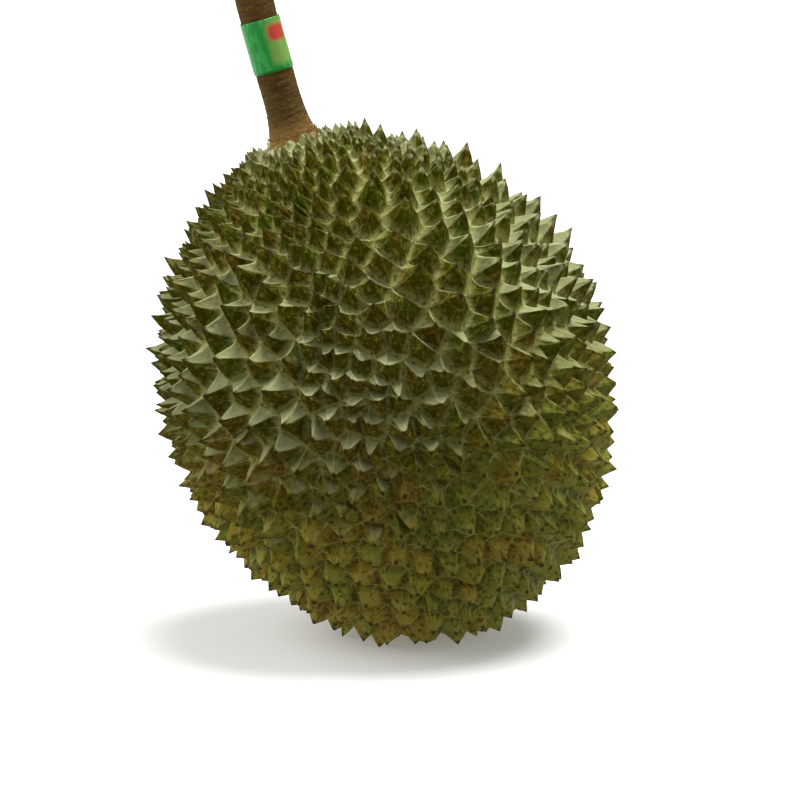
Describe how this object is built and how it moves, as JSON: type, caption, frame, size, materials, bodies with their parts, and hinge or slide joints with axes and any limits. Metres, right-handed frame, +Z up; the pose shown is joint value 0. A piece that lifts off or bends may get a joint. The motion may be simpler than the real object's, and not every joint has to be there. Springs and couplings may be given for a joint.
{
  "type": "durian fruit",
  "caption": "Whole ripe durian with a rind of broad thorny spines, standing at a lean, with its woody stem and a band of plastic tape round the stem.",
  "frame": {"origin": "centre of the worn flat tip of the lowest spine, on the surface that the fruit stands on", "axes": "+Z up, -Y the front, the fruit's axis leaning 23 degrees from +Z towards -X"},
  "size_m": [0.1896, 0.1855, 0.2716],
  "materials": {
    "rind": "matt to satin, olive green and brown",
    "stem_bark": "rough brown bark",
    "tape_film": "glossy green film"
  },
  "bodies": {
    "root": {"husk": "rind", "stem": "stem_bark", "stem_tape": "tape_film"}
  },
  "joints": []
}
